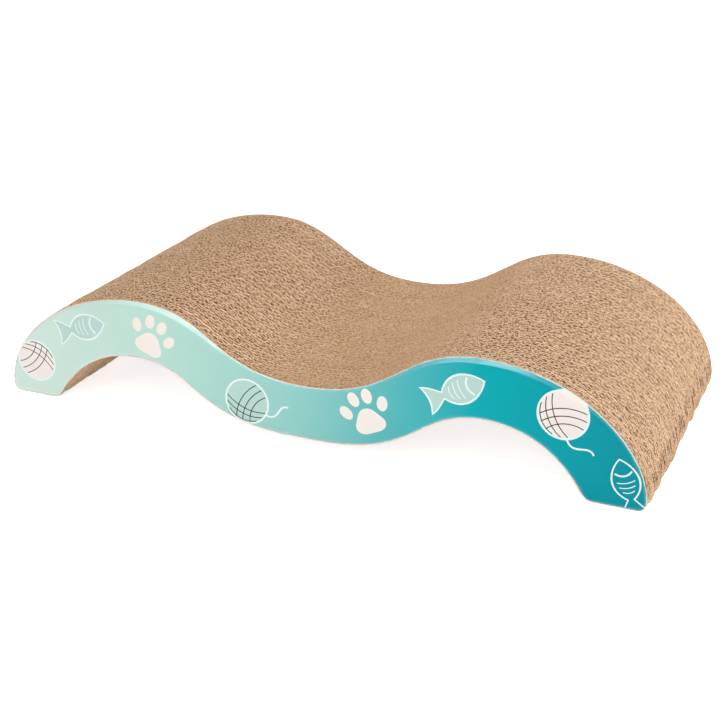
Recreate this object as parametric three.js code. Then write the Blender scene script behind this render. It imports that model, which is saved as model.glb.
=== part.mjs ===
// Wavy cat scratcher: a glued stack of die-cut corrugated boards between two printed cover sheets.
// Millimetres. +X runs along the length, +Y from the front cover to the back one, +Z up.
// The origin lies on the floor, under the middle of the stack.

import * as THREE from 'three';

// Wave outline, the same on every board
const crestSpacing = 264; // between the tops of the two humps
const crestToTip = 118; // from a hump's top out to the tip of its foot
const archHeight = 46; // floor to the top of each arch
const humpThickness = 44.5; // board standing above an arch's top
const archShift = 3.5; // how much further out an arch's top lies than its hump's top
const bellyHeight = 6; // floor to the underside of the middle
const bellyFlat = 20; // level stretch of that underside
const valleyThickness = 41.5; // board standing above the belly
const footLength = 30; // flat stretch that each foot stands on
const toeLength = 6; // rounded corner at a foot's tip, along the floor
const toeHeight = 8; // the same corner, up the tip
const heelRound = 5.5; // rounded corner at a foot's inner edge
const heelAngle = 58; // degrees, slope of the foot's inner edge above the floor

// How far each curve keeps its first direction, as a share of its own run
const valleyEase = 0.545;
const crestInnerEase = 0.44;
const crestOuterEase = 0.644;
const tipEase = 0.376;
const heelEase = 0.29;
const archOuterEase = 0.58;
const archInnerEase = 0.39;
const bellyEase = 0.637;

// Stack
const boardCount = 40;
const boardThickness = 5.8;
const glueLine = 0.15; // between two boards, and under each cover
const coverThickness = 0.4;
const coverSetback = 0.5; // a cover's cut edge lies this far inside the boards' edge

// Straight pieces that each curve is drawn with
const waveSteps = 8;
const toeSteps = 3;
const heelSteps = 2;

const kraft = new THREE.MeshStandardMaterial({ color: 0xc69c6d, roughness: 0.95, metalness: 0 });
const print = new THREE.MeshStandardMaterial({ color: 0x5fbfbd, roughness: 0.35, metalness: 0 });

const point = (x, z) => new THREE.Vector2(x, z);
const curve = (...points) => new THREE.CubicBezierCurve(...points);

// Right half of the outline, from the valley over the hump, round the foot and back to the belly
function halfOutline() {
  const crestX = crestSpacing / 2;
  const crestZ = archHeight + humpThickness;
  const valleyZ = bellyHeight + valleyThickness;
  const tipX = crestX + crestToTip;
  const tipRise = crestZ - toeHeight;
  const toeX = tipX - toeLength;
  const heelX = toeX - footLength - heelRound;
  const archX = crestX + archShift;
  const bellyX = bellyFlat / 2;
  const archOuterRun = heelX - archX;
  const archInnerRun = archX - bellyX;

  const valley = point(0, valleyZ);
  const crest = point(crestX, crestZ);
  const tip = point(tipX, toeHeight);
  const toe = point(toeX, 0);
  const heelCorner = point(heelX, 0);
  const heelBase = point(heelX + heelRound, 0);
  const slope = THREE.MathUtils.degToRad(heelAngle);
  const heelWay = point(-Math.cos(slope), Math.sin(slope));
  const heelTop = heelCorner.clone().addScaledVector(heelWay, heelRound);
  const arch = point(archX, archHeight);
  const belly = point(bellyX, bellyHeight);

  const inner = curve(
    valley,
    point(crestX * valleyEase, valleyZ),
    point(crestX * (1 - crestInnerEase), crestZ),
    crest,
  );
  const shoulder = curve(
    crest,
    point(crestX + crestToTip * crestOuterEase, crestZ),
    point(tipX, toeHeight + tipRise * tipEase),
    tip,
  );
  const toeCorner = new THREE.QuadraticBezierCurve(tip, point(tipX, 0), toe);
  const heel = new THREE.QuadraticBezierCurve(heelBase, heelCorner, heelTop);
  const archOuter = curve(
    heelTop,
    heelTop.clone().addScaledVector(heelWay, archHeight * heelEase),
    point(archX + archOuterRun * archOuterEase, archHeight),
    arch,
  );
  const archInner = curve(
    arch,
    point(archX - archInnerRun * archInnerEase, archHeight),
    point(bellyX + archInnerRun * bellyEase, bellyHeight),
    belly,
  );

  const open = (line, steps) => line.getPoints(steps).slice(0, -1);
  return [
    ...open(inner, waveSteps),
    ...open(shoulder, waveSteps),
    ...toeCorner.getPoints(toeSteps),
    ...open(heel, heelSteps),
    ...open(archOuter, waveSteps),
    ...archInner.getPoints(waveSteps),
  ];
}

// The half and its mirror image; the valley's own point lies on the middle line and is used once
function waveOutline() {
  const right = halfOutline();
  const left = right.slice(1).reverse().map((p) => point(-p.x, p.y));
  return [...right, ...left];
}

// The same outline moved inwards all round by one distance
function inset(outline, distance) {
  const count = outline.length;
  return outline.map((corner, i) => {
    const before = corner.clone().sub(outline[(i + count - 1) % count]).normalize();
    const after = outline[(i + 1) % count].clone().sub(corner).normalize();
    const inwards = point(before.y + after.y, -before.x - after.x);
    return corner.clone().addScaledVector(inwards, distance / (1 + before.dot(after)));
  });
}

// One flat sheet of the stack, standing on edge with its front face at frontY
function sheet(name, outline, thickness, frontY, material) {
  const shape = new THREE.Shape(outline);
  const geometry = new THREE.ExtrudeGeometry(shape, { depth: thickness, bevelEnabled: false });
  const mesh = new THREE.Mesh(geometry, material);
  mesh.name = name;
  mesh.rotation.x = Math.PI / 2;
  mesh.position.y = frontY + thickness;
  return mesh;
}

const scratcher = new THREE.Group();
const boardOutline = waveOutline();
const coverOutline = inset(boardOutline, coverSetback);
const boardPitch = boardThickness + glueLine;
const stackDepth = boardCount * boardPitch - glueLine;
const stackFront = -stackDepth / 2;

for (let i = 0; i < boardCount; i += 1) {
  const name = `board_${String(i + 1).padStart(2, '0')}`;
  scratcher.add(sheet(name, boardOutline, boardThickness, stackFront + i * boardPitch, kraft));
}

const frontCoverY = stackFront - glueLine - coverThickness;
const backCoverY = stackFront + stackDepth + glueLine;
scratcher.add(sheet('front_cover_sheet', coverOutline, coverThickness, frontCoverY, print));
scratcher.add(sheet('back_cover_sheet', coverOutline, coverThickness, backCoverY, print));

export default scratcher;
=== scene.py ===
"""Wavy cat scratcher: a glued stack of fluted boards between two printed covers, in metres."""

import math
from collections import namedtuple

import bpy
import numpy as np
from mathutils import Matrix, Vector
from mathutils.geometry import delaunay_2d_cdt


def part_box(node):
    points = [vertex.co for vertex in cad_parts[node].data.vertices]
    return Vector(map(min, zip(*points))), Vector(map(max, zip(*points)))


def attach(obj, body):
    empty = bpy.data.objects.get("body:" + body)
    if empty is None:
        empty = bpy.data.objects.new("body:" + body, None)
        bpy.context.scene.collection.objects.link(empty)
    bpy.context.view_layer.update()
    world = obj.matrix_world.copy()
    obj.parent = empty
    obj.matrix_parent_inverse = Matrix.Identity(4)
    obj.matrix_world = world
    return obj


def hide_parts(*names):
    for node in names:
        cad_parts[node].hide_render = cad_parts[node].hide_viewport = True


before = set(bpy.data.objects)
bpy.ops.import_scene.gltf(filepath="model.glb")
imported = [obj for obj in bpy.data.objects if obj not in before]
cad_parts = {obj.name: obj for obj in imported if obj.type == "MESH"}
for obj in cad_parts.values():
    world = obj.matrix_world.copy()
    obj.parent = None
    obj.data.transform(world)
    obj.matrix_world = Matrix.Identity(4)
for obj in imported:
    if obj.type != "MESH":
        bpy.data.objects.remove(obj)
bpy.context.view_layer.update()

# Seeded draws: one row for the papers and their stacking, one for the boards' ends
rng = np.random.default_rng(41)
end_rng = np.random.default_rng(17)

MM = 0.001
BODY = "root"

# Wave outline, as the solids have it
CREST_SPACING = 264 * MM
CREST_TO_TIP = 118 * MM
ARCH_HEIGHT = 46 * MM
HUMP_THICKNESS = 44.5 * MM
ARCH_SHIFT = 3.5 * MM
BELLY_HEIGHT = 6 * MM
BELLY_FLAT = 20 * MM
VALLEY_THICKNESS = 41.5 * MM
FOOT_LENGTH = 30 * MM
TOE_LENGTH = 6 * MM
TOE_HEIGHT = 8 * MM
HEEL_ROUND = 5.5 * MM
HEEL_ANGLE = math.radians(58)
VALLEY_EASE = 0.545
CREST_INNER_EASE = 0.44
CREST_OUTER_EASE = 0.644
TIP_EASE = 0.376
HEEL_EASE = 0.29
ARCH_OUTER_EASE = 0.58
ARCH_INNER_EASE = 0.39
BELLY_EASE = 0.637
CURVE_STEPS = 48
TOE_STEPS = 12
HEEL_STEPS = 8
HALF_LENGTH = CREST_SPACING / 2 + CREST_TO_TIP

# Papers of one board: three flat liners, a coarse flute and a fine one
OUTER_LINER = 0.19 * MM
MIDDLE_LINER = 0.44 * MM
FLUTING = 0.54 * MM
COARSE_DEPTH = 2.75 * MM
COARSE_PITCH = 8.0 * MM
FINE_PITCH = 6.4 * MM
FLUTE_STEP = 0.8 * MM  # between two points along a fluted paper
LINER_STEP = 4.0 * MM  # the same along a flat one
BOND = 0.03 * MM  # how far a flute sinks into the liners
GLUE_FILL = 0.07 * MM  # how far an outer liner reaches into the glue line
LEAST_HEIGHT = 0.5 * MM  # of a paper at the boards' tips

# How far the flutes step on from one board to the next, as shares of a pitch
COARSE_STEP_ON = -0.28
FINE_STEP_ON = 0.05
STEP_ON_CHANGE = 0.12

# What hand stacking and cutting leave uneven
STACK_SHIFT = 0.4 * MM  # of a whole board along its length
STACK_SHIFT_MOST = 0.9 * MM
END_SHIFT = 0.55 * MM  # of a board's end, on top of that
END_SHIFT_MOST = 1.1 * MM
END_REACH = (188 * MM, 240 * MM)  # from the middle, where an end's shift starts and is full
RIGHT_END_PROUD = 1.4 * MM  # of the inner boards at the right end
PROUD_POWER = 0.4  # low: nearly all the inner boards alike
CUT_UNEVEN = 0.1 * MM  # of the cut edges' height
CUT_STEP = 1.5 * MM
LIP_WANDER = 0.1 * MM  # of a flute's cut lip to either side
LIP_STEP = 1.6 * MM
STACK_BOW = 0.35 * MM
BOW_WAVES = 2.6

# How deep the painted shade in the flutes looks at the cut
HOLLOW_FLUTE_SHADE = 0.2  # share of the painted flute shade kept in the hollow
HOLLOW_MIDDLE = 34 * MM
HOLLOW_REACH = (36 * MM, 100 * MM)  # from its middle, where the painted flute shade starts to come back and is full
LEAN_POWER = -0.75  # -0.5 is the true distance to a slope; this one makes the painted flute shade shallower
LEAN_LEAST = 0.2

# Printed covers
COVER_SETBACK = 0.5 * MM
COVER_THICKNESS = 0.4 * MM
ROLL_WIDTH = (2.4 * MM, 3.8 * MM)  # of the rolled-back edge, low down and on the crests
ROLL_DEPTH = (0.7 * MM, 2.1 * MM)
ROLL_CREST = (60 * MM, 84 * MM)  # the heights between which the one runs into the other
ROLL_CORNER = 0.12  # how softly the roll starts, as a share of its width
ROLL_RINGS = (0.45 * MM, 1.0 * MM, 1.7 * MM, 2.4 * MM, 3.1 * MM, 3.8 * MM)
MERGE_MM = 1e-4  # printed points closer than this become one
POINTS_AT_ONCE = 2000

# Camera, as the photograph was taken
CAMERA_PLACE = Vector((0.3905, -0.9373, 0.4496))
CAMERA_TURN = math.radians(22.82)
CAMERA_DOWN = math.radians(22.96)
CAMERA_ROLL = math.radians(0.36)
CAMERA_LENS = 69.46
CAMERA_SENSOR = 36.0
CAMERA_NEAREST = 0.01

# Studio
FLOOR_HALF = 4.0
FLOOR_ROUGHNESS = 0.9
FLOOR_GLOW = 0.76  # what the camera sees of the floor on top of the lamps' light
WORLD_LIGHT = 0.26
NEUTRAL = (1, 1, 1)
WIDE = 180  # degrees, for a lamp that shines to every side in front of it


def srgb(red, green, blue):
    """A colour written in 0 to 255 screen steps, as the linear colour that a shader takes."""
    steps = np.array([red, green, blue]) / 255
    linear = np.where(steps <= 0.04045, steps / 12.92, ((steps + 0.055) / 1.055) ** 2.4)
    return (*linear.tolist(), 1.0)


def smooth(value, low, high):
    """0 below low, 1 above high and a smooth way between."""
    share = np.clip((value - low) / (high - low), 0, 1)
    return share * share * (3 - 2 * share)


# Wave outline

def bezier(steps, *points):
    """Points along one curve with these control points, from first to last."""
    points = np.array(points)
    degree = len(points) - 1
    t = np.linspace(0, 1, steps + 1)[:, None]
    shares = [math.comb(degree, k) * (1 - t) ** (degree - k) * t**k for k in range(degree + 1)]
    return sum(share * point for share, point in zip(shares, points))


def half_lines():
    """The right half's upper line, from the valley to the tip, and its lower line, from the tip
    to the belly, as (x, z) points."""
    crest_x = CREST_SPACING / 2
    crest_z = ARCH_HEIGHT + HUMP_THICKNESS
    valley_z = BELLY_HEIGHT + VALLEY_THICKNESS
    tip_x = crest_x + CREST_TO_TIP
    toe_x = tip_x - TOE_LENGTH
    heel_x = toe_x - FOOT_LENGTH - HEEL_ROUND
    arch_x = crest_x + ARCH_SHIFT
    belly_x = BELLY_FLAT / 2
    way = np.array([-math.cos(HEEL_ANGLE), math.sin(HEEL_ANGLE)])
    heel_top = np.array([heel_x, 0]) + way * HEEL_ROUND
    arch_out = arch_x + (heel_x - arch_x) * ARCH_OUTER_EASE
    arch_in = arch_x - (arch_x - belly_x) * ARCH_INNER_EASE
    belly_out = belly_x + (arch_x - belly_x) * BELLY_EASE
    tip_up = TOE_HEIGHT + (crest_z - TOE_HEIGHT) * TIP_EASE
    crest = (crest_x, crest_z)
    tip = (tip_x, TOE_HEIGHT)
    arch = (arch_x, ARCH_HEIGHT)
    upper = [
        bezier(CURVE_STEPS, (0, valley_z), (crest_x * VALLEY_EASE, valley_z),
               (crest_x * (1 - CREST_INNER_EASE), crest_z), crest),
        bezier(CURVE_STEPS, crest, (crest_x + CREST_TO_TIP * CREST_OUTER_EASE, crest_z),
               (tip_x, tip_up), tip)[1:],
    ]
    lower = [
        bezier(TOE_STEPS, tip, (tip_x, 0), (toe_x, 0)),
        bezier(HEEL_STEPS, (heel_x + HEEL_ROUND, 0), (heel_x, 0), heel_top),
        bezier(CURVE_STEPS, heel_top, heel_top + way * ARCH_HEIGHT * HEEL_EASE,
               (arch_out, ARCH_HEIGHT), arch)[1:],
        bezier(CURVE_STEPS, arch, (arch_in, ARCH_HEIGHT), (belly_out, BELLY_HEIGHT),
               (belly_x, BELLY_HEIGHT))[1:],
    ]
    return np.concatenate(upper), np.concatenate(lower)


UPPER, LOWER = half_lines()


def top_of(x):
    """Height of the boards' upper edge."""
    return np.interp(np.abs(x), UPPER[:, 0], UPPER[:, 1])


def under_of(x):
    """Height of the boards' lower edge."""
    return np.interp(np.abs(x), LOWER[::-1, 0], LOWER[::-1, 1])


def lean_of(line, x):
    """How near a cut line lies, as a share of the way straight up or down to it: less on slopes."""
    along = np.gradient(line[:, 0])
    slope = np.gradient(line[:, 1]) / np.where(along == 0, 1e-9, along)
    share = np.maximum((1 + slope**2) ** LEAN_POWER, LEAN_LEAST)
    order = np.argsort(line[:, 0])
    return np.interp(np.abs(x), line[order, 0], share[order])


def flute_shade_along(x):
    """How much of the painted shade in the flutes is kept: less in the hollow, all elsewhere."""
    away = smooth(np.abs(x - HOLLOW_MIDDLE), *HOLLOW_REACH)
    return HOLLOW_FLUTE_SHADE + (1 - HOLLOW_FLUTE_SHADE) * away


def inset(loop, distance):
    """A closed clockwise loop moved inwards all round."""
    before = loop - np.roll(loop, 1, axis=0)
    after = np.roll(loop, -1, axis=0) - loop
    before /= np.linalg.norm(before, axis=1, keepdims=True)
    after /= np.linalg.norm(after, axis=1, keepdims=True)
    inwards = np.stack([before[:, 1] + after[:, 1], -before[:, 0] - after[:, 0]], axis=1)
    lean = 1 + (before * after).sum(axis=1, keepdims=True)
    return loop + inwards * distance / lean


def wave_loop():
    """The whole outline, clockwise."""
    right = np.concatenate([UPPER, LOWER[1:]])
    left = right[:0:-1] * [-1, 1]
    return np.concatenate([right, left])


COVER_LOOP = inset(wave_loop(), COVER_SETBACK)


def edge_distance(points):
    """How far each (x, z) point lies from the cover's cut edge."""
    along = np.roll(COVER_LOOP, -1, axis=0) - COVER_LOOP
    length = (along**2).sum(axis=1)
    nearest = np.full(len(points), np.inf)
    for first in range(0, len(points), POINTS_AT_ONCE):
        some = slice(first, first + POINTS_AT_ONCE)
        away = points[some, None] - COVER_LOOP
        share = np.clip((away * along).sum(axis=2) / length, 0, 1)
        off = away - share[..., None] * along
        nearest[some] = np.sqrt((off**2).sum(axis=2).min(axis=1))
    return nearest


def roll(points):
    """How far each (x, z) point is pressed back along the cut edge: most on the crests, where
    paws and hands land."""
    crest = smooth(points[:, 1], *ROLL_CREST)
    width = ROLL_WIDTH[0] + (ROLL_WIDTH[1] - ROLL_WIDTH[0]) * crest
    depth = ROLL_DEPTH[0] + (ROLL_DEPTH[1] - ROLL_DEPTH[0]) * crest
    near = np.clip(1 - edge_distance(points) / width, 0, 1)
    return depth * near**2 / (near + ROLL_CORNER) * (1 + ROLL_CORNER)


# Meshes

FRONT, BACK, CUT_EDGE, NO_SIDE = range(4)


def closed_sheet(front, back):
    """Vertices and quads of a thin closed sheet between two grids of points, and each quad's side.
    Both grids run upwards in rows and along +X in columns, and front lies on the -Y side."""
    rows, columns = front.shape[:2]
    count = rows * columns
    at = np.arange(count).reshape(rows, columns)
    behind = at + count

    def strip(a, b, c, d):
        return np.stack([a, b, c, d], axis=-1).reshape(-1, 4)

    faces = [
        strip(at[:-1, :-1], at[:-1, 1:], at[1:, 1:], at[1:, :-1]),
        strip(behind[:-1, 1:], behind[:-1, :-1], behind[1:, :-1], behind[1:, 1:]),
        strip(at[-1, :-1], at[-1, 1:], behind[-1, 1:], behind[-1, :-1]),
        strip(at[0, 1:], at[0, :-1], behind[0, :-1], behind[0, 1:]),
        strip(behind[:-1, 0], at[:-1, 0], at[1:, 0], behind[1:, 0]),
        strip(at[:-1, -1], behind[:-1, -1], behind[1:, -1], at[1:, -1]),
    ]
    sides = np.concatenate([np.full(len(f), min(i, CUT_EDGE)) for i, f in enumerate(faces)])
    points = np.concatenate([front.reshape(-1, 3), back.reshape(-1, 3)])
    return points, np.concatenate(faces), sides


def mesh_object(name, points, faces):
    """An object whose mesh has these vertices and faces, all of one corner count."""
    mesh = bpy.data.meshes.new(name)
    corners = faces.shape[1]
    mesh.vertices.add(len(points))
    mesh.vertices.foreach_set("co", points.astype(np.float32).ravel())
    mesh.loops.add(faces.size)
    mesh.loops.foreach_set("vertex_index", faces.astype(np.int32).ravel())
    mesh.polygons.add(len(faces))
    mesh.polygons.foreach_set("loop_start", np.arange(0, faces.size, corners, dtype=np.int32))
    mesh.update(calc_edges=True)
    piece = bpy.data.objects.new(name, mesh)
    bpy.context.scene.collection.objects.link(piece)
    return piece


def keep_value(piece, name, domain, values):
    """Stores one number for each vertex or face, which a material can read by name."""
    layer = piece.data.attributes.new(name, "FLOAT", domain)
    layer.data.foreach_set("value", np.asarray(values, dtype=np.float32))


def finish_piece(piece, node):
    """Puts a piece in its node's place."""
    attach(piece, BODY)
    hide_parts(node)


# Fluted boards

LINER_SLOT, FLUTING_SLOT, CUT_SLOT = range(3)

# One paper: the depth of its middle below the board's coarse side, the swing of its flutes to
# each side, their pitch and phase, its own thickness, and the step between points along it
Paper = namedtuple("Paper", "depth swing pitch phase thickness step")


def wander(x, size, step):
    """A seeded wandering line along x, smooth over about one step."""
    knots = np.arange(x.min() - 2 * step, x.max() + 2 * step, step)
    return np.interp(x, knots, rng.normal(0, size, len(knots)))


def flute_phases(count):
    """Where each board's coarse and fine flutes start. Cut from one web, they step on board by
    board."""
    steps = rng.normal((COARSE_STEP_ON, FINE_STEP_ON), STEP_ON_CHANGE, (count, 2))
    return 2 * math.pi * np.cumsum(steps, axis=0)


def end_shifts(count):
    """How far each board's left and right end is moved along +X. The inner boards' right ends
    stand proud."""
    shifts = np.clip(end_rng.normal(0, END_SHIFT, (count, 2)), -END_SHIFT_MOST, END_SHIFT_MOST)
    shifts[:, 1] += RIGHT_END_PROUD * np.sin(np.linspace(0, math.pi, count)) ** PROUD_POWER
    return shifts


def board_papers(thickness, phases):
    """The five papers of a board of this thickness, from its coarse side."""
    coarse_phase, fine_phase = phases
    fine_depth = thickness - 2 * OUTER_LINER - MIDDLE_LINER - COARSE_DEPTH
    coarse_middle = OUTER_LINER + COARSE_DEPTH / 2
    fine_middle = thickness - OUTER_LINER - fine_depth / 2
    coarse_swing = (COARSE_DEPTH - FLUTING) / 2 + BOND
    fine_swing = (fine_depth - FLUTING) / 2 + BOND
    outer = OUTER_LINER + GLUE_FILL
    outer_depth = (OUTER_LINER - GLUE_FILL) / 2
    middle_depth = OUTER_LINER + COARSE_DEPTH + MIDDLE_LINER / 2
    return [
        Paper(outer_depth, 0, COARSE_PITCH, 0, outer, LINER_STEP),
        Paper(coarse_middle, coarse_swing, COARSE_PITCH, coarse_phase, FLUTING, FLUTE_STEP),
        Paper(middle_depth, 0, COARSE_PITCH, 0, MIDDLE_LINER, LINER_STEP),
        Paper(fine_middle, fine_swing, FINE_PITCH, fine_phase, FLUTING, FLUTE_STEP),
        Paper(thickness - outer_depth, 0, FINE_PITCH, 0, outer, LINER_STEP),
    ]


def paper_grid(x, depth, low, high, pressed):
    """(rows, columns, 3) points of one face of a paper, as x, depth into the board and z.
    A pressed paper has rows along its cut edges, where it gives way under the rolled cover."""
    if pressed:
        near = np.array([0, *ROLL_RINGS])
        room = (high - low)[None] / 2
        rise = np.minimum(near[:, None], room * near[:, None] / near[-1])
        z = np.concatenate([low + rise, high - rise[::-1]])
    else:
        z = np.stack([low, high])
    x = np.broadcast_to(x, z.shape)
    depth = np.broadcast_to(depth, z.shape)
    if pressed:
        back = roll(np.stack([x, z], axis=-1).reshape(-1, 2)).reshape(z.shape)
        depth = depth + back * np.clip(1 - depth / (OUTER_LINER + COARSE_DEPTH), 0, 1)
    return np.stack([x, depth, z], axis=-1)


def paper_faces(paper, outermost, shift, ends):
    """The two faces of one paper as grids. Only the outermost boards are cut and stacked evenly."""
    end = HALF_LENGTH - FLUTE_STEP / 4
    x = np.linspace(-end, end, round(2 * end / paper.step) + 1)
    turn = 2 * math.pi * x / paper.pitch + paper.phase
    middle = paper.depth + paper.swing * np.sin(turn)
    slope = paper.swing * np.cos(turn) * 2 * math.pi / paper.pitch
    lean = np.sqrt(1 + slope**2)
    pressed = outermost and paper.depth < OUTER_LINER + COARSE_DEPTH
    uneven = 0 if outermost else 1
    rise = np.abs(wander(x, CUT_UNEVEN, CUT_STEP)) * uneven
    drop = wander(x, CUT_UNEVEN, CUT_STEP) * uneven
    lip = wander(x, LIP_WANDER, LIP_STEP) * (paper.swing > 0) * uneven
    left, right = ends * uneven
    faces = []
    for side in (-1, 1):
        side_x = x - side * slope / lean * paper.thickness / 2
        side_depth = middle + side / lean * paper.thickness / 2
        low = under_of(side_x) + rise
        high = np.maximum(top_of(side_x) + drop, low + LEAST_HEIGHT)
        grid = paper_grid(side_x, side_depth, low, high, pressed)
        grid[-1, :, 1] += lip
        grid[..., 0] += shift
        out = smooth(np.abs(grid[..., 0]), *END_REACH)
        grid[..., 0] += np.where(grid[..., 0] < 0, left, right) * out
        faces.append(grid)
    return faces


def stacked(faces, front_y, back_y, flipped, bow):
    """A paper's faces at their place in the slightly bowed stack, the front one first."""
    for grid in faces:
        grid[..., 1] = back_y - grid[..., 1] if flipped else front_y + grid[..., 1]
        grid[..., 1] += bow * np.sin(BOW_WAVES * math.pi * grid[..., 0] / HALF_LENGTH)
    return faces[::-1] if flipped else faces


def cut_depths(grid, shift):
    """How far each point lies above the lower cut and below the upper one, in millimetres, and
    how much of the painted flute shade is kept there."""
    x, z = grid[..., 0], grid[..., 2]
    height = z - z[0]
    above = height * lean_of(LOWER, x - shift) / MM
    below = (z[-1] - z) * lean_of(UPPER, x - shift) / MM
    shade_kept = 1 - (1 - flute_shade_along(x)) * height / height[-1]
    return above.ravel(), below.ravel(), shade_kept.ravel()


def joined(rows):
    """Columns of arrays, each joined into one array."""
    return [np.concatenate(column) for column in zip(*rows)]


def fluted_board(node, order, count, phases, ends):
    """One double-wall board. The last one is turned round, so that both outermost boards have
    their coarse flutes outside."""
    front_y, back_y = (corner[1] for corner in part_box(node))
    outermost = order in (0, count - 1)
    flipped = order == count - 1
    bow = STACK_BOW * math.sin(math.pi * order / (count - 1))
    shift = 0
    if not outermost:
        shift = np.clip(rng.normal(0, STACK_SHIFT), -STACK_SHIFT_MOST, STACK_SHIFT_MOST)
    glued = [FRONT, NO_SIDE, NO_SIDE, NO_SIDE, BACK]
    if flipped:
        glued.reverse()
    papers = []
    depths = []
    first = 0
    for paper, glued_side in zip(board_papers(back_y - front_y, phases), glued):
        faces = paper_faces(paper, outermost, shift, ends)
        faces = stacked(faces, front_y, back_y, flipped, bow)
        points, quads, sides = closed_sheet(*faces)
        cut = sides == CUT_EDGE
        bare = cut | (sides == glued_side)
        fluted = np.full(len(quads), paper.swing > 0)
        tone = np.full(len(quads), rng.uniform(0, 1))
        papers.append((points, quads + first, cut, bare, fluted, tone))
        depths += [cut_depths(grid, shift) for grid in faces]
        first += len(points)
    points, quads, cut, bare, fluted, tone = joined(papers)
    above, below, shade_kept = joined(depths)
    piece = mesh_object(f"fluted_{node}", points, quads)
    keep_value(piece, "paper_tone", "FACE", tone)
    keep_value(piece, "above_under_mm", "POINT", above)
    keep_value(piece, "below_top_mm", "POINT", below)
    keep_value(piece, "flute_shade_kept", "POINT", shade_kept)
    for material in (KRAFT_LINER, KRAFT_FLUTING, KRAFT_CUT):
        piece.data.materials.append(material)
    slots = np.where(bare, CUT_SLOT, np.where(fluted, FLUTING_SLOT, LINER_SLOT))
    piece.data.polygons.foreach_set("material_index", slots.astype(np.int32))
    piece.data.polygons.foreach_set("use_smooth", ~cut)
    finish_piece(piece, node)


# Printed covers: motifs are drawn in millimetres about their own middle

GROUND, WHITE, CREAM, MINT, DARK = range(5)
STROKE = 1.4
STRAND = 0.75


def moved(loop, at, turn):
    """A loop turned about its own origin and put at a place."""
    c, s = math.cos(turn), math.sin(turn)
    return loop @ np.array([[c, s], [-s, c]]) + at


def ellipse(wide, high, at=(0, 0), turn=0.0, steps=40):
    """A closed loop, wide and high being half sizes."""
    t = np.linspace(0, 2 * math.pi, steps, endpoint=False)
    return moved(np.stack([wide * np.cos(t), high * np.sin(t)], axis=1), at, turn)


def ribbon(line, width):
    """A loop round an open line, with this width."""
    way = np.gradient(line, axis=0)
    way /= np.linalg.norm(way, axis=1, keepdims=True)
    off = np.stack([-way[:, 1], way[:, 0]], axis=1) * width / 2
    return np.concatenate([line + off, (line - off)[::-1]])


def paw_print(fill):
    """A plain paw print: a three-lobed pad and four toes."""
    t = np.linspace(0, 2 * math.pi, 56, endpoint=False)
    radius = 10.4 * (1 + 0.12 * np.cos(3 * (t - math.pi / 2)))
    pad = np.stack([1.22 * radius * np.cos(t), radius * np.sin(t) - 7], axis=1)
    shapes = [(pad, fill)]
    for x, z, turn in ((-16.5, 5, 0.45), (-6, 14, 0.14), (6, 14, -0.14), (16.5, 5, -0.45)):
        shapes.append((ellipse(4.5, 6.4, (x, z), turn), fill))
    return shapes


def yarn_ball(fill):
    """A wound ball with a loose end."""
    radius = 17.5
    strand_reach = 0.97  # just short of the ball's edge
    strand_bend = 0.32 * radius
    tail = bezier(24, (9, -15), (18, -26), (24, -10), (31, -17))
    shapes = [
        (ribbon(tail, STROKE), WHITE),
        (ellipse(radius + STROKE, radius + STROKE), WHITE),
        (ellipse(radius, radius), fill),
    ]
    for turn, levels in ((0.5, (-0.615, -0.287, 0.041)), (2.3, (0.123, 0.41, 0.697))):
        for level in levels:
            end_x = radius * math.sqrt(1 - level**2) * strand_reach
            end_z = radius * level
            mid_z = end_z + strand_bend
            strand = bezier(16, (-end_x, end_z), (-0.4 * end_x, mid_z), (0.4 * end_x, mid_z),
                            (end_x, end_z))
            inside = np.linalg.norm(strand, axis=1) < radius
            shapes.append((moved(ribbon(strand[inside], STRAND), (0, 0), turn), DARK))
    return shapes


def fish(fill):
    """A plain fish with a forked tail, drawn as a cut-out."""
    def mirrored(line):
        return line[::-1] * [1, -1]

    def body(grow):
        back = bezier(20, (-12 - grow, 0), (-4, 14 + 1.4 * grow), (12, 12 + 1.4 * grow),
                      (21 + grow, 0))
        return np.concatenate([back[:-1], mirrored(back)[:-1]])

    def tail(grow):
        tip = (-24 - grow, 9.5 + grow)
        upper = bezier(12, (-8 + grow, 0), (-14, 3 + grow), (-18, 8 + grow), tip)
        fork = bezier(12, tip, (-20.5 - grow, 3), (-20.5 - grow, -3), (tip[0], -tip[1]))
        return np.concatenate([upper[:-1], fork[:-1], mirrored(upper)[:-1]])

    shapes = [(body(STROKE), WHITE), (tail(STROKE), WHITE), (body(0), fill), (tail(0), fill)]
    gill = bezier(14, (11, 6.6), (7, 3), (7, -3), (11, -6.6))
    shapes.append((ribbon(gill, STROKE), WHITE))
    for x, reach in ((3.5, 7.0), (-0.5, 6.2), (-4.5, 4.6)):
        stripe = bezier(12, (x, reach), (x - 2.6, 0), (x, -reach))
        shapes.append((ribbon(stripe, STRAND), WHITE))
    return shapes


# (motif, fill, place along the cover, share of the band's height, turn in degrees, size)
PRINT = (
    (yarn_ball, CREAM, -226, 0.52, 200, 0.9),
    (fish, MINT, -182, 0.62, 18, 0.95),
    (paw_print, CREAM, -122, 0.42, -22, 0.86),
    (yarn_ball, MINT, -44, 0.40, 30, 0.94),
    (paw_print, CREAM, 50, 0.52, 24, 0.9),
    (fish, MINT, 116, 0.46, 28, 1.0),
    (yarn_ball, CREAM, 190, 0.66, -20, 0.96),
    (fish, GROUND, 236, 0.40, 110, 0.9),
)


def print_shapes():
    """Every printed loop on the cover in paint order, each with its ink."""
    shapes = []
    for motif, fill, along, share, degrees, size in PRINT:
        x = along * MM
        place = (x, (1 - share) * under_of(x) + share * top_of(x))
        for loop, ink in motif(fill):
            shapes.append((moved(loop * size * MM, place, math.radians(degrees)), ink))
    return shapes


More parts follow.
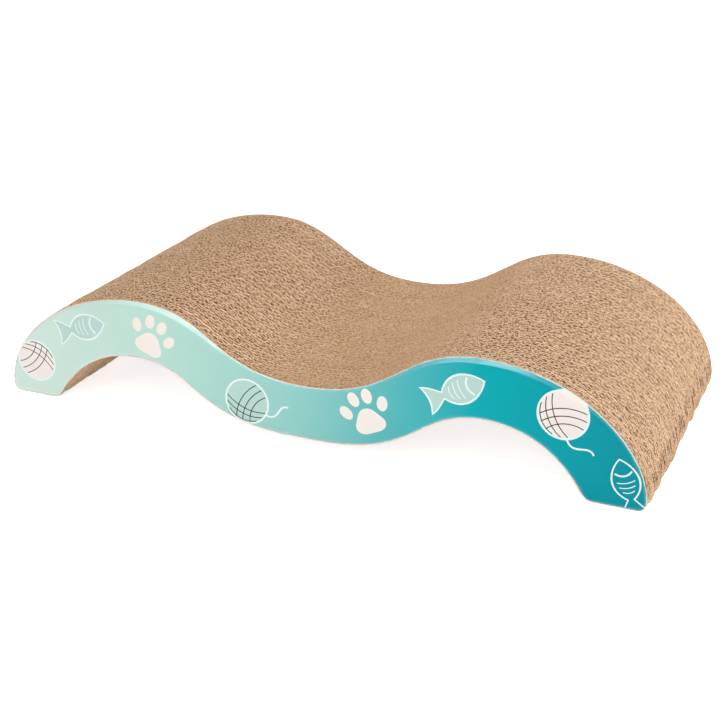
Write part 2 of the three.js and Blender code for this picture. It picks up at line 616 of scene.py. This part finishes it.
def inside_loop(points, loop):
    """Which (x, z) points lie inside a closed loop."""
    x, z = points[:, :1], points[:, 1:]
    x0, z0 = loop[:, 0], loop[:, 1]
    x1, z1 = np.roll(x0, -1), np.roll(z0, -1)
    crosses = (z0 > z) != (z1 > z)
    rise = np.where(z1 == z0, 1.0, z1 - z0)
    return ((crosses & (x < x0 + (z - z0) / rise * (x1 - x0))).sum(axis=1) % 2) == 1


def printed_face():
    """Points, triangles and inks of the printed side, cut along every printed shape's edge."""
    shapes = print_shapes()
    rings = [inset(COVER_LOOP, ring) for ring in ROLL_RINGS]
    loops = [COVER_LOOP, *rings, *(loop for loop, _ in shapes)]
    corners = [Vector(point) for point in np.concatenate(loops) / MM]
    edges = []
    start = 0
    for loop in loops:
        count = len(loop)
        edges += [(start + k, start + (k + 1) % count) for k in range(count)]
        start += count
    cut_up = delaunay_2d_cdt(corners, edges, [], 0, MERGE_MM)
    points = np.array([tuple(point) for point in cut_up[0]]) * MM
    triangles = np.array([face for face in cut_up[2] if len(face) == 3])
    middles = points[triangles].mean(axis=1)
    kept = inside_loop(middles, COVER_LOOP)
    triangles, middles = triangles[kept], middles[kept]
    inks = np.full(len(triangles), GROUND)
    for loop, ink in shapes:
        inks[inside_loop(middles, loop)] = ink
    used, triangles = np.unique(triangles, return_inverse=True)
    return points[used], triangles.reshape(-1, 3), inks


def printed_cover(name, node, face, turned):
    """A paper sheet with its printed side outwards and its edge rolled back, turned round for
    the back."""
    flat, triangles, inks = face
    low_corner, high_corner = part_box(node)
    outer = -high_corner[1] if turned else low_corner[1]
    sign = -1 if turned else 1
    rolled = roll(flat)
    points = np.stack([sign * flat[:, 0], sign * (outer + rolled), flat[:, 1]], axis=1)
    piece = mesh_object(name, points, triangles)
    keep_value(piece, "print_along", "POINT", (flat[:, 0] + HALF_LENGTH) / (2 * HALF_LENGTH))
    keep_value(piece, "edge_mm", "POINT", np.minimum(edge_distance(flat), ROLL_RINGS[-1]) / MM)
    keep_value(piece, "rolled_mm", "POINT", rolled / MM)
    for material in (*INKS, COVER_CORE):
        piece.data.materials.append(material)
    piece.data.polygons.foreach_set("material_index", inks.astype(np.int32))
    piece.data.polygons.foreach_set("use_smooth", np.ones(len(inks), dtype=bool))
    thick = piece.modifiers.new("paper thickness", "SOLIDIFY")
    thick.thickness = COVER_THICKNESS
    thick.offset = -1
    thick.material_offset_rim = len(piece.data.materials)  # so the rim takes the last one
    finish_piece(piece, node)


# Shader building blocks

FLOAT, COLOUR = "NodeSocketFloat", "NodeSocketColor"
PURE_WHITE = (1, 1, 1, 1)
PURE_BLACK = (0, 0, 0, 1)
NOISE_SPAN = (0.2, 0.8)  # what most of a fine noise lies between
CLOUD_SPAN = (0.3, 0.7)  # the same for a broad one


def node_in(tree, kind, values=None, **settings):
    """A new node; values holds numbers, colours or sockets for its inputs by name or place."""
    made = tree.nodes.new(kind)
    for name, value in settings.items():
        setattr(made, name, value)
    for name, value in (values or {}).items():
        if isinstance(value, bpy.types.NodeSocket):
            tree.links.new(value, made.inputs[name])
        else:
            made.inputs[name].default_value = value
    return made


def calc(tree, operation, *values):
    """The result of one Math node."""
    return node_in(tree, "ShaderNodeMath", dict(enumerate(values)), operation=operation).outputs[0]


def centred(tree, value):
    """A value that runs from 0 to 1, moved to lie about 0."""
    return calc(tree, "SUBTRACT", value, 0.5)


def remap(tree, value, low, high, to_low, to_high):
    """A value moved smoothly and without overshoot from one range to another."""
    limits = {"Value": value, "From Min": low, "From Max": high, "To Min": to_low, "To Max": to_high}
    moved_value = node_in(tree, "ShaderNodeMapRange", limits, interpolation_type="SMOOTHSTEP")
    return moved_value.outputs["Result"]


def blend(tree, share, first, second):
    """A colour between two colours. The Mix node's colour sockets are found by place, because
    its sockets for numbers have the same names."""
    values = {0: share, 6: first, 7: second}
    return node_in(tree, "ShaderNodeMix", values, data_type="RGBA").outputs[2]


def stretched(tree, per_metre):
    """Object coordinates multiplied along each axis, by three numbers or by one for all."""
    place = node_in(tree, "ShaderNodeTexCoord").outputs["Object"]
    values = {0: place, 1: np.broadcast_to(per_metre, 3).tolist()}
    return node_in(tree, "ShaderNodeVectorMath", values, operation="MULTIPLY").outputs[0]


def noise(tree, per_metre, detail=2.0, roughness=0.5):
    """A noise value with about this many grains to a metre."""
    vector = stretched(tree, per_metre)
    values = {"Vector": vector, "Scale": 1.0, "Detail": detail, "Roughness": roughness}
    return node_in(tree, "ShaderNodeTexNoise", values).outputs[0]


def attribute(tree, name):
    """A number that the mesh holds under this name."""
    return node_in(tree, "ShaderNodeAttribute", attribute_name=name).outputs["Fac"]


def bump(tree, height, distance, strength):
    """A normal from a height."""
    values = {"Height": height, "Distance": distance, "Strength": strength}
    return node_in(tree, "ShaderNodeBump", values).outputs[0]


def shader_group(name, inputs, outputs):
    """A node group with these sockets, its input node and its output node."""
    tree = bpy.data.node_groups.new(name, "ShaderNodeTree")
    for label, kind, value in inputs:
        tree.interface.new_socket(label, in_out="INPUT", socket_type=kind).default_value = value
    for label, kind in outputs:
        tree.interface.new_socket(label, in_out="OUTPUT", socket_type=kind)
    return tree, tree.nodes.new("NodeGroupInput").outputs, tree.nodes.new("NodeGroupOutput").inputs


def placed(tree, group, values):
    """The outputs of a node group in a material, with its own values or sockets."""
    return node_in(tree, "ShaderNodeGroup", values, node_tree=group).outputs


def principled(name):
    """A material, its tree and its main shader's inputs."""
    material = bpy.data.materials.new(name)
    material.use_nodes = True
    return material, material.node_tree, material.node_tree.nodes["Principled BSDF"].inputs


# Pulp paper
SPECK_EDGE = (0.06, 0.16)  # as shares of a speck's cell
SPECKLESS = 0.72  # share of the cells that have no speck
FIBRE_RELIEF = 0.6  # how high the fibres stand beside the fine grain
PAPER_ROUGHNESS = (0.82, 0.97)
PAPER_BUMP = 0.06 * MM
PAPER_BUMP_STRENGTH = 0.6
PAPER_SHINE = 0.2


def paper_fibre_group():
    """Pulp paper: clouded tone, long fibres, dark specks, a soft tooth and a painted shade where
    given.
    """
    tree, given, out = shader_group(
        "paper fibre",
        [("Pale", COLOUR, PURE_WHITE), ("Deep", COLOUR, PURE_BLACK), ("Sheet Tone", FLOAT, 0.5),
         ("Sheet Change", FLOAT, 0.2), ("Cloud", FLOAT, 0.3), ("Fibre", FLOAT, 0.5),
         ("Specks", FLOAT, 0.5), ("Hollow Shade", FLOAT, 0.0)],
        [("Colour", COLOUR), ("Roughness", FLOAT), ("Height", FLOAT)],
    )
    cloud = noise(tree, per_metre=40, detail=3.0)
    fibres = noise(tree, per_metre=(620, 900, 900), roughness=0.6)
    grain = noise(tree, per_metre=1900)
    tone = 0.5
    changes = ((cloud, "Cloud"), (fibres, "Fibre"), (given["Sheet Tone"], "Sheet Change"))
    for value, share in changes:
        tone = calc(tree, "MULTIPLY_ADD", centred(tree, value), given[share], tone)
    # Painted shade: a deeper tone where hollow shade is given
    tone = calc(tree, "ADD", tone, given["Hollow Shade"])
    base = blend(tree, remap(tree, tone, 0, 1, 0, 1), given["Pale"], given["Deep"])
    cell_place = stretched(tree, per_metre=(520, 900, 900))
    cells = node_in(tree, "ShaderNodeTexVoronoi", {"Vector": cell_place, "Scale": 1.0}).outputs
    pick = node_in(tree, "ShaderNodeSeparateColor", {0: cells["Color"]}).outputs[0]
    chosen = calc(tree, "GREATER_THAN", pick, SPECKLESS)
    speck = calc(tree, "MULTIPLY", remap(tree, cells["Distance"], *SPECK_EDGE, 1, 0), chosen)
    speck_share = calc(tree, "MULTIPLY", speck, given["Specks"])
    tree.links.new(blend(tree, speck_share, base, given["Deep"]), out["Colour"])
    tree.links.new(remap(tree, grain, *NOISE_SPAN, *PAPER_ROUGHNESS), out["Roughness"])
    tree.links.new(calc(tree, "MULTIPLY_ADD", fibres, FIBRE_RELIEF, grain), out["Height"])
    return tree


# Painted highlight and painted shade at the cut: paler lips and shaded flutes, in millimetres from
# the cut
UNDER_FACTOR = 0.5  # the painted flute shade at a lower cut reaches half as deep
UNDER_START = -0.3  # and start this much higher
LIP_FRAY = 3.2  # how far the fray moves a lip's end
LIP_END = (1.3, 2.2)  # where a lip's paleness, fray and painted highlight, starts to fade and is gone
LIP_SHARE = 0.9
LIP_HIGHLIGHT_IN_HOLLOW = 0.7  # share of that paleness left in the hollow, which paints the hollow darker
PAINTED_SHADE_JITTER = 4.0  # how far noise moves the start of the painted shade in the flute
PAINTED_SHADE_START = (0.15, 0.65)  # where that starts and is full
PAINTED_SHADE_SHARE = 0.97


def lip_light_and_flute_shade_group():
    """Paper paler at its frayed lip, partly fray and partly painted highlight, and painted shade
    further down in the flute, with less of both in the hollow."""
    tree, given, out = shader_group(
        "cut lip",
        [("Paper", COLOUR, PURE_WHITE), ("Lip Fray And Highlight", COLOUR, PURE_WHITE), ("Inside", COLOUR, PURE_BLACK)],
        [("Colour", COLOUR)],
    )
    shade_kept = attribute(tree, "flute_shade_kept")
    above = calc(tree, "MULTIPLY_ADD", attribute(tree, "above_under_mm"), UNDER_FACTOR, UNDER_START)
    depth = calc(tree, "MINIMUM", above, attribute(tree, "below_top_mm"))
    fray = noise(tree, per_metre=800)
    frayed = calc(tree, "MULTIPLY_ADD", fray, LIP_FRAY, depth)
    lip_highlight_kept = calc(tree, "MULTIPLY_ADD", shade_kept, 1 - LIP_HIGHLIGHT_IN_HOLLOW, LIP_HIGHLIGHT_IN_HOLLOW)
    # Paler near the lip: partly fray, partly painted highlight; less of it in the hollow
    pale = calc(tree, "MULTIPLY", remap(tree, frayed, *LIP_END, LIP_SHARE, 0), lip_highlight_kept)
    lip_highlighted = blend(tree, pale, given["Paper"], given["Lip Fray And Highlight"])
    # Painted shade: darker further down in the flute, its start moved by noise
    shade_jitter = centred(tree, noise(tree, per_metre=(950, 950, 700)))
    shade_depth = calc(tree, "MULTIPLY_ADD", shade_jitter, PAINTED_SHADE_JITTER, depth)
    inside = remap(tree, shade_depth, *PAINTED_SHADE_START, 0, PAINTED_SHADE_SHARE)
    painted_shade = calc(tree, "MULTIPLY", inside, shade_kept)
    tree.links.new(blend(tree, painted_shade, lip_highlighted, given["Inside"]), out["Colour"])
    return tree


# Ink on coated paper
MOTTLE_GRAIN = 0.7  # how much its fine grain adds to its clouds
EDGE_RAGGED_MM = 0.9  # how far in from the cut edge the worn white reaches
EDGE_WORN_MM = (-0.25, 0.25)  # how softly it ends
BURNISH_RAGGED_MM = 0.6
BURNISH_START_MM = (0.35, 0.75)  # how far the sheet is rolled back where its gloss starts and is full
PRINT_ROUGHNESS = (0.30, 0.40)
WORN_ROUGHER = 0.35
PRINT_WEAR = 0.9
PRINT_PAPER = srgb(232, 240, 234)
PRINT_GRAIN = 0.12
PRINT_BUMP = 0.03 * MM
PRINT_BUMP_STRENGTH = 0.5
PRINT_SHINE = 0.1
COAT_ROUGHNESS = 0.16
COAT_IOR = 1.7
RIPPLE_TURNS = 2 * math.pi * 2 * HALF_LENGTH / COARSE_PITCH


def print_finish_group():
    """Ink on coated paper: faint mottle, a rub-worn white cut edge, a burnished roll and the
    flutes showing through."""
    tree, given, out = shader_group(
        "print finish",
        [("Ink", COLOUR, PURE_WHITE), ("Paper", COLOUR, PURE_WHITE), ("Mottle", FLOAT, 0.05),
         ("Wear", FLOAT, 0.5)],
        [("Colour", COLOUR), ("Roughness", FLOAT), ("Burnish", FLOAT), ("Height", FLOAT)],
    )
    cloud = noise(tree, per_metre=70, detail=4.0)
    grain = noise(tree, per_metre=2600)
    mottle = calc(tree, "MULTIPLY_ADD", centred(tree, grain), MOTTLE_GRAIN, centred(tree, cloud))
    shade = {0: given["Ink"], "Scale": calc(tree, "MULTIPLY_ADD", mottle, given["Mottle"], 1.0)}
    tint = node_in(tree, "ShaderNodeVectorMath", shade, operation="SCALE").outputs[0]
    edge = attribute(tree, "edge_mm")
    tears = noise(tree, per_metre=260, detail=3.0)
    ragged = calc(tree, "MULTIPLY_ADD", tears, -EDGE_RAGGED_MM, edge)
    worn = calc(tree, "MULTIPLY", remap(tree, ragged, *EDGE_WORN_MM, 1, 0), given["Wear"])
    tree.links.new(blend(tree, worn, tint, given["Paper"]), out["Colour"])
    gloss = remap(tree, cloud, *CLOUD_SPAN, *PRINT_ROUGHNESS)
    tree.links.new(calc(tree, "MULTIPLY_ADD", worn, WORN_ROUGHER, gloss), out["Roughness"])
    rolled = attribute(tree, "rolled_mm")
    patches = noise(tree, per_metre=160, detail=3.0)
    rubbed = calc(tree, "MULTIPLY_ADD", patches, BURNISH_RAGGED_MM, rolled)
    tree.links.new(remap(tree, rubbed, *BURNISH_START_MM, 0, 1), out["Burnish"])
    along = calc(tree, "MULTIPLY", attribute(tree, "print_along"), RIPPLE_TURNS)
    ripple = calc(tree, "MULTIPLY", calc(tree, "SINE", along), cloud)
    tree.links.new(calc(tree, "MULTIPLY_ADD", grain, PRINT_GRAIN, ripple), out["Height"])
    return tree


PAPER_FIBRE = paper_fibre_group()
LIP_LIGHT_AND_FLUTE_SHADE = lip_light_and_flute_shade_group()
PRINT_FINISH = print_finish_group()


def pulp_paper(name, pale, deep, changes, lip=None, inside=None, rubbed=0.0):
    """Board or cover paper; changes are how much its tone varies by sheet, cloud, fibre and speck,
    and rubbed is how much deeper its tone is painted in the hollow, as painted shade."""
    material, tree, shader = principled(name)
    values = {"Pale": pale, "Deep": deep, "Sheet Tone": attribute(tree, "paper_tone")}
    values.update(zip(("Sheet Change", "Cloud", "Fibre", "Specks"), changes))
    if rubbed:
        # Painted shade: the tone deepens in the hollow, where the painted flute shade is least
        closed = calc(tree, "SUBTRACT", 1.0, attribute(tree, "flute_shade_kept"))
        values["Hollow Shade"] = calc(tree, "MULTIPLY", closed, rubbed)
    fibres = placed(tree, PAPER_FIBRE, values)
    colour = fibres["Colour"]
    if lip:
        # A paler lip, partly fray and partly painted highlight, and painted shade in the flutes
        colour = placed(tree, LIP_LIGHT_AND_FLUTE_SHADE, {"Paper": colour, "Lip Fray And Highlight": lip, "Inside": inside})["Colour"]
    normal = bump(tree, fibres["Height"], PAPER_BUMP, PAPER_BUMP_STRENGTH)
    tree.links.new(colour, shader["Base Color"])
    tree.links.new(fibres["Roughness"], shader["Roughness"])
    tree.links.new(normal, shader["Normal"])
    shader["Specular IOR Level"].default_value = PAPER_SHINE
    return material


def ink_material(name, ink, mottle):
    """One printed colour; ink is a colour, or a function that makes a colour socket in the tree."""
    material, tree, shader = principled(name)
    colour = ink(tree) if callable(ink) else ink
    values = {"Ink": colour, "Paper": PRINT_PAPER, "Mottle": mottle, "Wear": PRINT_WEAR}
    finish = placed(tree, PRINT_FINISH, values)
    normal = bump(tree, finish["Height"], PRINT_BUMP, PRINT_BUMP_STRENGTH)
    tree.links.new(finish["Colour"], shader["Base Color"])
    tree.links.new(finish["Roughness"], shader["Roughness"])
    tree.links.new(normal, shader["Normal"])
    tree.links.new(finish["Burnish"], shader["Coat Weight"])
    shader["Coat Roughness"].default_value = COAT_ROUGHNESS
    shader["Coat IOR"].default_value = COAT_IOR
    shader["Specular IOR Level"].default_value = PRINT_SHINE
    return material


def ground_gradient(tree):
    """Pale mint at the print's left end, through aqua, to deep teal at its right end."""
    ramp = node_in(tree, "ShaderNodeValToRGB", {0: attribute(tree, "print_along")})
    stops = (
        (0.00, srgb(216, 234, 223)),
        (0.28, srgb(185, 222, 210)),
        (0.50, srgb(146, 204, 198)),
        (0.63, srgb(92, 185, 187)),
        (0.76, srgb(0, 170, 179)),
        (1.00, srgb(0, 146, 160)),
    )
    while len(ramp.color_ramp.elements) < len(stops):
        ramp.color_ramp.elements.new(0.5)
    for element, (place, colour) in zip(ramp.color_ramp.elements, stops):
        element.position = place
        element.color = colour
    return ramp.outputs[0]


# Lip colour: partly frayed fibres, partly painted highlight
KRAFT_LIP_FRAY_AND_HIGHLIGHT = srgb(253, 219, 182)
# The cut edges' deeper tone in the hollow (rubbed) is painted shade
KRAFT_CUT = pulp_paper(
    "kraft cut edge", srgb(254, 222, 187), srgb(204, 158, 115), (0.1, 0.3, 1.6, 0.3), rubbed=0.16,
)
# inside is the painted shade colour deep in the flutes
KRAFT_LINER = pulp_paper(
    "kraft liner", srgb(226, 184, 145), srgb(160, 114, 77), (0.15, 0.3, 1.4, 0.6),
    lip=KRAFT_LIP_FRAY_AND_HIGHLIGHT, inside=srgb(92, 38, 9),
)
KRAFT_FLUTING = pulp_paper(
    "kraft fluting", srgb(224, 182, 142), srgb(156, 110, 73), (0.15, 0.3, 1.4, 0.7),
    lip=KRAFT_LIP_FRAY_AND_HIGHLIGHT, inside=srgb(87, 35, 8),
)
INKS = (
    ink_material("print ground", ground_gradient, 0.05),
    ink_material("print white line", srgb(236, 248, 244), 0.03),
    ink_material("print cream", srgb(247, 237, 229), 0.03),
    ink_material("print mint", srgb(186, 217, 208), 0.04),
    ink_material("print dark", srgb(30, 34, 36), 0.2),
)
COVER_CORE = pulp_paper(
    "cover paper core", srgb(240, 240, 234), srgb(214, 214, 206), (0, 0.3, 0.4, 0.2),
)


def make_scratcher():
    """Every board in the order of the stack, then the two covers."""
    boards = sorted(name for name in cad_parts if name.startswith("board_"))
    count = len(boards)
    phases = flute_phases(count)
    ends = end_shifts(count)
    for order, node in enumerate(boards):
        fluted_board(node, order, count, phases[order], ends[order])
    face = printed_face()
    printed_cover("front_printed_cover", "front_cover_sheet", face, turned=False)
    printed_cover("back_printed_cover", "back_cover_sheet", face, turned=True)


# Studio

# (name, place, target, (width, height), watts, colour, spread in degrees)
SOFTBOXES = (
    ("right softbox", (0.95, 0.15, 0.62), (0.1, 0, 0.04), (0.5, 0.5), 3.3, (0.93, 0.97, 1), WIDE),
    ("overhead softbox", (0.55, 0.05, 1.0), (0.1, 0, 0.04), (0.6, 0.6), 4.7, (0.97, 0.99, 1), WIDE),
    ("front left softbox", (-0.5, -1.5, 0.6), (-0.1, 0, 0.04), (0.8, 0.5), 5.3, NEUTRAL, WIDE),
    ("low front softbox", (0.75, -1.05, 0.14), (-0.2, -0.06, 0.03), (0.4, 0.25), 0.4, NEUTRAL, 50),
    ("low back softbox", (0.4, 1.15, 0.18), (-0.15, 0, 0.03), (0.6, 0.3), 3.0, NEUTRAL, WIDE),
    ("left softbox", (-1.15, 0.3, 0.45), (0, 0, 0.04), (0.5, 0.4), 2.0, NEUTRAL, WIDE),
    ("left strip", (-0.58, -1.10, 0.87), (0, -0.05, 0.08), (1.1, 0.18), 1.4, NEUTRAL, WIDE),
    ("crest strip", (-0.04, -1.15, 0.87), (0.1, -0.05, 0.08), (0.36, 0.18), 0.8, NEUTRAL, WIDE),
)


def camera_share(tree):
    """1 for what the camera sees straight, mirrored or through glass, else 0."""
    path = node_in(tree, "ShaderNodeLightPath").outputs
    seen = calc(tree, "MAXIMUM", path["Is Camera Ray"], path["Is Glossy Ray"])
    return calc(tree, "MAXIMUM", seen, path["Is Transmission Ray"])


def studio_floor():
    """A white floor that keeps the object's shadow."""
    half = FLOOR_HALF
    corners = np.array([(-half, -half, 0), (half, -half, 0), (half, half, 0), (-half, half, 0)])
    floor = mesh_object("studio_floor", corners, np.array([[0, 1, 2, 3]]))
    material, tree, shader = principled("studio floor")
    shader["Base Color"].default_value = srgb(246, 246, 246)
    shader["Roughness"].default_value = FLOOR_ROUGHNESS
    shader["Specular IOR Level"].default_value = 0.0
    shader["Emission Color"].default_value = PURE_WHITE
    glow = calc(tree, "MULTIPLY", camera_share(tree), FLOOR_GLOW)
    tree.links.new(glow, shader["Emission Strength"])
    floor.data.materials.append(material)


def studio_world():
    """White where it shows, and a softer even light elsewhere."""
    world = bpy.data.worlds.new("studio")
    bpy.context.scene.world = world
    world.use_nodes = True
    tree = world.node_tree
    background = tree.nodes["Background"].inputs
    background["Color"].default_value = PURE_WHITE
    light = calc(tree, "MULTIPLY_ADD", camera_share(tree), 1 - WORLD_LIGHT, WORLD_LIGHT)
    tree.links.new(light, background["Strength"])


def softbox(name, place, target, size, watts, colour, spread):
    """A rectangular lamp that faces its target."""
    lamp = bpy.data.lights.new(name, "AREA")
    lamp.shape = "RECTANGLE"
    lamp.size, lamp.size_y = size
    lamp.energy = watts
    lamp.color = colour
    lamp.spread = math.radians(spread)
    holder = bpy.data.objects.new(name, lamp)
    bpy.context.scene.collection.objects.link(holder)
    holder.location = place
    holder.rotation_euler = (Vector(target) - Vector(place)).to_track_quat("-Z", "Y").to_euler()


def studio_camera():
    """The photograph's view."""
    camera = bpy.data.cameras.new("photo camera")
    camera.lens = CAMERA_LENS
    camera.sensor_width = CAMERA_SENSOR
    camera.clip_start = CAMERA_NEAREST
    holder = bpy.data.objects.new("photo camera", camera)
    bpy.context.scene.collection.objects.link(holder)
    turn = Matrix.Rotation(CAMERA_TURN, 4, "Z")
    tilt = Matrix.Rotation(math.pi / 2 - CAMERA_DOWN, 4, "X")
    level = Matrix.Rotation(CAMERA_ROLL, 4, "Z")
    holder.matrix_world = Matrix.Translation(CAMERA_PLACE) @ turn @ tilt @ level
    bpy.context.scene.camera = holder


make_scratcher()
studio_floor()
studio_world()
for lamp_values in SOFTBOXES:
    softbox(*lamp_values)
studio_camera()
bpy.context.scene.view_settings.view_transform = "Standard"
